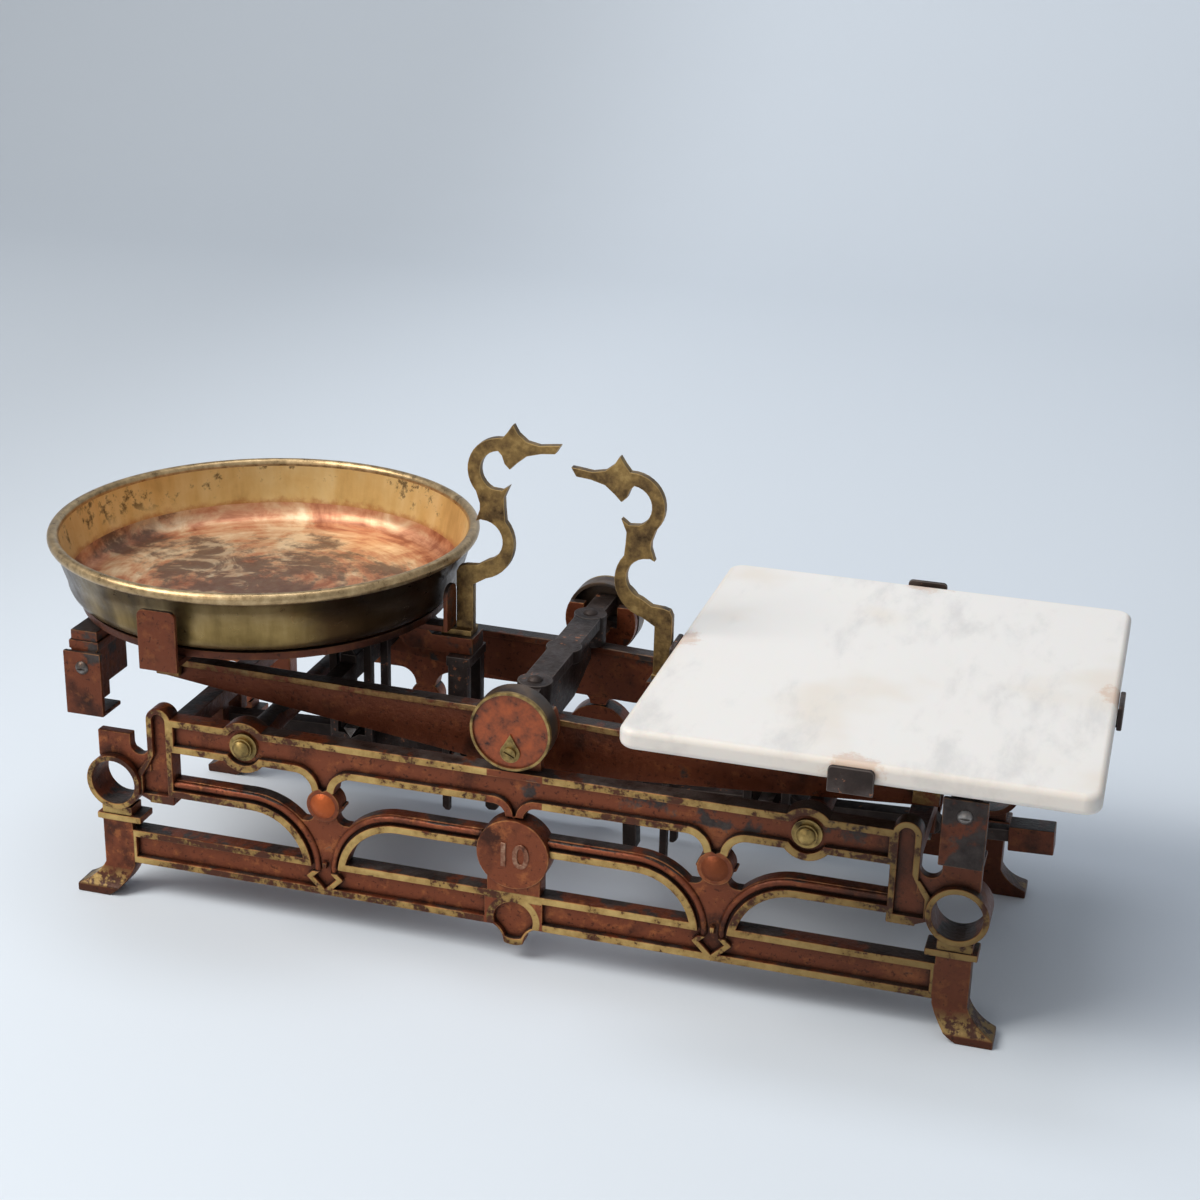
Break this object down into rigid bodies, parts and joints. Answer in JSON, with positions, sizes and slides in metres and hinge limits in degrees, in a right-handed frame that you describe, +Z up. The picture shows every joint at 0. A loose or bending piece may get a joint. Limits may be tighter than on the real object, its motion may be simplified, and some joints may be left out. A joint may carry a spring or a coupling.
{
  "type": "counter balance scale",
  "caption": "Equal-arm counter scale: ornate pierced cast side frames, a tilting beam, a round pan and a square stone slab on carriers with swan-neck pointers.",
  "frame": {"origin": "on the table under the main knife edges, midway between the side castings", "axes": "+X from the pan to the slab, -Y out of the decorated front, +Z up"},
  "size_m": [0.5997, 0.2588, 0.276],
  "materials": {
    "frame_paint": "worn reddish-brown paint with gilded edges",
    "beam_paint": "worn reddish-brown paint",
    "cap_paint": "copper-coloured paint with a brass rim",
    "bare_iron": "bare, dark and slightly rusty",
    "steel": "ground steel, dulled",
    "fitting_brass": "tarnished",
    "pointer_brass": "cast, dark tarnish",
    "pan_brass": "spun sheet, stained inside",
    "marble": "polished, faint grey veins"
  },
  "bodies": {
    "base": {"front_side_frame": "frame_paint", "rear_side_frame": "frame_paint", "tie_rods": "steel", "spacer_tubes": "frame_paint", "tie_washers": "fitting_brass", "tie_nuts": "fitting_brass", "left_fulcrum_bar": "frame_paint", "right_fulcrum_bar": "frame_paint", "main_bearings": "steel", "front_bearing_cap": "cap_paint", "rear_bearing_cap": "cap_paint", "cap_lugs": "fitting_brass", "cap_screws": "fitting_brass"},
    "beam": {"front_beam_rail": "beam_paint", "rear_beam_rail": "beam_paint", "beam_cross_bar": "bare_iron", "beam_rivets": "bare_iron", "main_knives": "steel", "end_knives": "steel", "left_link_bar": "bare_iron", "right_link_bar": "bare_iron"},
    "left_carrier": {"left_carrier": "beam_paint", "pan_rest": "beam_paint", "pan_clips": "beam_paint", "left_guard_plates": "beam_paint", "left_guard_screws": "steel", "left_pointer": "pointer_brass", "left_pointer_screw": "steel", "left_inner_leg": "bare_iron"},
    "right_carrier": {"right_carrier": "beam_paint", "slab_rest": "bare_iron", "slab_clips": "bare_iron", "right_guard_plates": "beam_paint", "right_guard_screws": "steel", "right_pointer": "pointer_brass", "right_pointer_screw": "steel", "right_inner_leg": "bare_iron"},
    "left_lever": {"left_lower_lever": "bare_iron", "left_lever_knives": "steel"},
    "right_lever": {"right_lower_lever": "bare_iron", "tare_block": "bare_iron", "right_lever_knives": "steel"},
    "left_shackle": {"left_shackle": "bare_iron"},
    "right_shackle": {"right_shackle": "bare_iron"},
    "pan": {"weighing_pan": "pan_brass"},
    "slab": {"marble_slab": "marble"}
  },
  "joints": [
    {"name": "beam_tilt", "type": "hinge", "parent": "base", "child": "beam", "pos_m": [0, 0, 0.139], "axis": [0, -1, 0], "range_deg": [0, 3]},
    {"name": "left_carrier_hinge", "type": "hinge", "parent": "beam", "child": "left_carrier", "pos_m": [-0.21193, 0, 0.14455], "axis": [0, -1, 0], "range_deg": [-3, 0]},
    {"name": "right_carrier_hinge", "type": "hinge", "parent": "beam", "child": "right_carrier", "pos_m": [0.21193, 0, 0.13345], "axis": [0, -1, 0], "range_deg": [-3, 0]},
    {"name": "left_lever_tilt", "type": "hinge", "parent": "base", "child": "left_lever", "pos_m": [-0.207, 0, 0.081], "axis": [0, 1, 0], "range_deg": [0, 4.25]},
    {"name": "right_lever_tilt", "type": "hinge", "parent": "base", "child": "right_lever", "pos_m": [0.207, 0, 0.081], "axis": [0, 1, 0], "range_deg": [0, 4.25]},
    {"name": "left_shackle_hinge", "type": "hinge", "parent": "beam", "child": "left_shackle", "pos_m": [-0.12118, 0, 0.14217], "axis": [0, -1, 0], "range_deg": [-3, 0]},
    {"name": "right_shackle_hinge", "type": "hinge", "parent": "beam", "child": "right_shackle", "pos_m": [0.12118, 0, 0.13583], "axis": [0, -1, 0], "range_deg": [-3, 0]},
    {"name": "pan_lift", "type": "slide", "parent": "left_carrier", "child": "pan", "axis": [0, 0, 1], "range_m": [0, 0.06]},
    {"name": "slab_lift", "type": "slide", "parent": "right_carrier", "child": "slab", "axis": [0, 0, 1], "range_m": [0, 0.06]}
  ],
  "couplings": [
    {"joint": "left_carrier_hinge", "follows": "beam_tilt", "ratio": -1},
    {"joint": "right_carrier_hinge", "follows": "beam_tilt", "ratio": -1},
    {"joint": "left_shackle_hinge", "follows": "beam_tilt", "ratio": -1},
    {"joint": "right_shackle_hinge", "follows": "beam_tilt", "ratio": -1},
    {"joint": "left_lever_tilt", "follows": "beam_tilt", "ratio": 1.4133},
    {"joint": "right_lever_tilt", "follows": "beam_tilt", "ratio": 1.4133}
  ]
}
